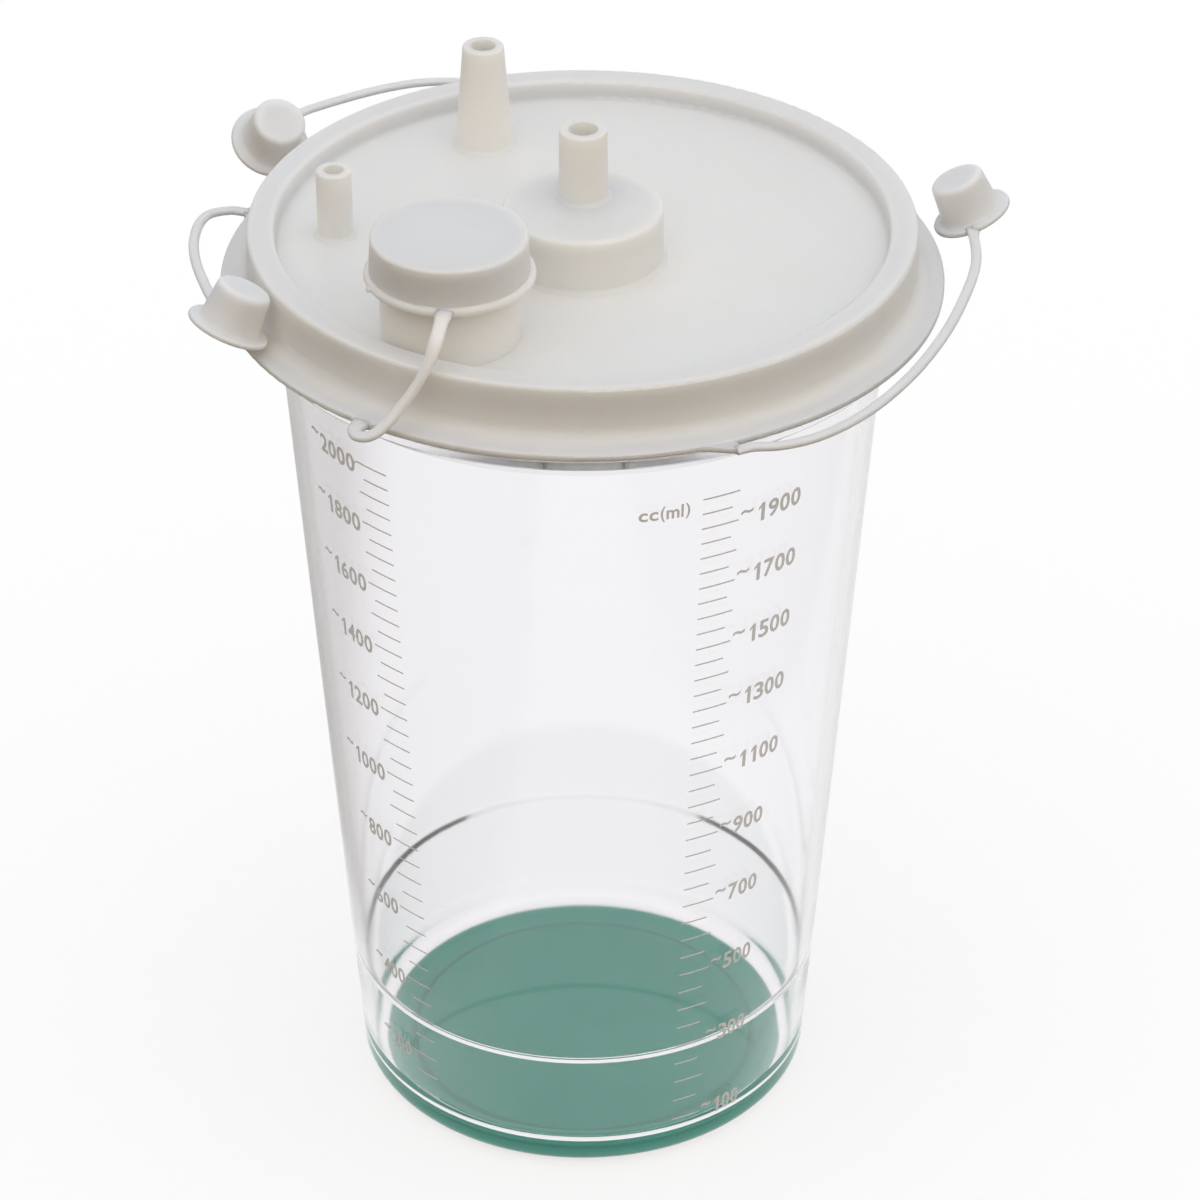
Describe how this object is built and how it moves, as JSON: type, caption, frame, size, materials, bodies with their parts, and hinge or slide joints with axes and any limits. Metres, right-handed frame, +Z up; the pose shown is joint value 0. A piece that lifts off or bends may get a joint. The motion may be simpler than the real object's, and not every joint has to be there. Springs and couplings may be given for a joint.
{
  "type": "suction canister",
  "caption": "Clear tapered suction canister with a recessed push-fit lid, hose ports, a capped pouring spout, tethered port caps and a float shut-off valve.",
  "frame": {"origin": "centre of the standing face under the jar", "axes": "+Z up along the jar's axis through the lid; the scale and the pouring spout face -Y; the rear port is towards +Y"},
  "size_m": [0.1817, 0.1711, 0.246],
  "materials": {
    "clear_plastic": "clear, glossy",
    "coating": "tinted coating, glossy",
    "lid_plastic": "moulded, satin",
    "cage_plastic": "moulded, satin",
    "seal_rubber": "smooth"
  },
  "bodies": {
    "jar": {"jar": "clear_plastic", "base_coating": "coating"},
    "lid": {"lid": "lid_plastic", "float_cage": "cage_plastic"},
    "float": {"valve_float": "cage_plastic", "float_seal": "seal_rubber"},
    "pour_cap": {"pour_cap": "lid_plastic", "pour_cap_tether": "lid_plastic"},
    "port_cap_rear": {"port_cap_rear": "lid_plastic"},
    "port_cap_left": {"port_cap_left": "lid_plastic"},
    "port_cap_right": {"port_cap_right": "lid_plastic"}
  },
  "joints": [
    {"name": "lid_lift", "type": "slide", "parent": "jar", "child": "lid", "axis": [0, 0, 1], "range_m": [0, 0.06]},
    {"name": "pour_cap_lift", "type": "slide", "parent": "lid", "child": "pour_cap", "axis": [0, 0, 1], "range_m": [0, 0.014], "deforming": ["pour_cap_tether"]},
    {"name": "float_rise", "type": "slide", "parent": "lid", "child": "float", "axis": [0, 0, 1], "range_m": [0, 0.009]},
    {"name": "port_cap_rear_swing", "type": "hinge", "parent": "lid", "child": "port_cap_rear", "pos_m": [-0.00286, 0.08195, 0.2088], "axis": [-0.0349, 0.9994, 0], "range_deg": [0, 45]},
    {"name": "port_cap_left_swing", "type": "hinge", "parent": "lid", "child": "port_cap_left", "pos_m": [-0.07555, 0.02795, 0.2088], "axis": [-0.9379, 0.3469, 0], "range_deg": [0, 45]},
    {"name": "port_cap_right_swing", "type": "hinge", "parent": "lid", "child": "port_cap_right", "pos_m": [0.03335, -0.07491, 0.2088], "axis": [0.4067, -0.9135, 0], "range_deg": [-15, 45]}
  ]
}
